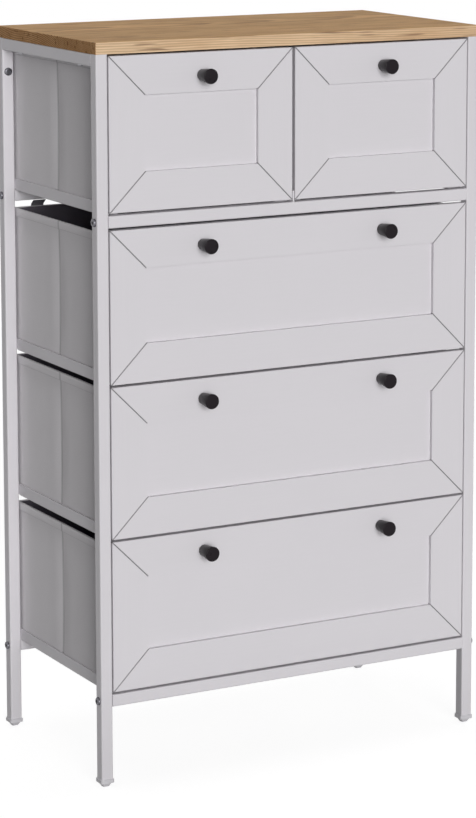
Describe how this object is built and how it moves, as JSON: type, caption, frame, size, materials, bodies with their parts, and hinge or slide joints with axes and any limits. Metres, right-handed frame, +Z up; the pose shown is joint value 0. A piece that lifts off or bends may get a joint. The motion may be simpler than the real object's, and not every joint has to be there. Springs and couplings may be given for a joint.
{
  "type": "fabric drawer dresser",
  "caption": "Tall narrow dresser with a square-tube frame, wooden top and fabric drawers with recessed pale fronts and black knobs.",
  "frame": {"origin": "on the floor under the middle of the bounding box", "axes": "+Z up, the drawer fronts face -Y, +X to the right of someone facing the fronts"},
  "size_m": [0.567, 0.333, 0.956],
  "materials": {
    "white_paint": "satin off-white powder coat",
    "wood_top": "brown oak-grain board",
    "front_board": "smooth matt off-white faced board",
    "bin_fabric": "pale grey non-woven fabric",
    "lining": "dark fabric-covered stiff base",
    "webbing": "dark webbing",
    "black_knob": "matt black",
    "foot_plastic": "pale grey moulded plastic",
    "zinc": "grey zinc plate"
  },
  "bodies": {
    "frame": {"top_panel": "wood_top", "post_front_left": "white_paint", "post_front_right": "white_paint", "post_rear_left": "white_paint", "post_rear_right": "white_paint", "top_rail_left": "white_paint", "top_rail_right": "white_paint", "front_mid_rail": "white_paint", "rear_mid_rail": "white_paint", "front_bottom_rail": "white_paint", "rear_bottom_rail": "white_paint", "runner_top_left": "white_paint", "runner_top_right": "white_paint", "runner_upper_left": "white_paint", "runner_upper_right": "white_paint", "runner_middle_left": "white_paint", "runner_middle_right": "white_paint", "runner_lower_left": "white_paint", "runner_lower_right": "white_paint", "centre_runner": "white_paint", "feet": "foot_plastic", "frame_bolts": "zinc", "top_screws": "zinc", "wall_tabs": "white_paint", "wall_tab_bolts": "zinc", "wall_tab_nuts": "zinc"},
    "drawer_top_left": {"top_left_front_panel": "front_board", "top_left_fabric_bin": "bin_fabric", "top_left_base_board": "lining", "top_left_knob": "black_knob", "top_left_knob_screw": "zinc", "top_left_panel_screws": "zinc"},
    "drawer_top_right": {"top_right_front_panel": "front_board", "top_right_fabric_bin": "bin_fabric", "top_right_base_board": "lining", "top_right_knob": "black_knob", "top_right_knob_screw": "zinc", "top_right_panel_screws": "zinc"},
    "drawer_upper": {"upper_front_panel": "front_board", "upper_fabric_bin": "bin_fabric", "upper_base_board": "lining", "upper_knob_left": "black_knob", "upper_knob_right": "black_knob", "upper_knob_screws": "zinc", "upper_panel_screws": "zinc", "upper_stop_tabs": "webbing"},
    "drawer_middle": {"middle_front_panel": "front_board", "middle_fabric_bin": "bin_fabric", "middle_base_board": "lining", "middle_knob_left": "black_knob", "middle_knob_right": "black_knob", "middle_knob_screws": "zinc", "middle_panel_screws": "zinc"},
    "drawer_lower": {"lower_front_panel": "front_board", "lower_fabric_bin": "bin_fabric", "lower_base_board": "lining", "lower_knob_left": "black_knob", "lower_knob_right": "black_knob", "lower_knob_screws": "zinc", "lower_panel_screws": "zinc"}
  },
  "joints": [
    {"name": "drawer_top_left_slide", "type": "slide", "parent": "frame", "child": "drawer_top_left", "axis": [0, -1, 0], "range_m": [0, 0.24]},
    {"name": "drawer_top_right_slide", "type": "slide", "parent": "frame", "child": "drawer_top_right", "axis": [0, -1, 0], "range_m": [0, 0.24]},
    {"name": "drawer_upper_slide", "type": "slide", "parent": "frame", "child": "drawer_upper", "axis": [0, -1, 0], "range_m": [0, 0.24]},
    {"name": "drawer_middle_slide", "type": "slide", "parent": "frame", "child": "drawer_middle", "axis": [0, -1, 0], "range_m": [0, 0.24]},
    {"name": "drawer_lower_slide", "type": "slide", "parent": "frame", "child": "drawer_lower", "axis": [0, -1, 0], "range_m": [0, 0.24]}
  ]
}
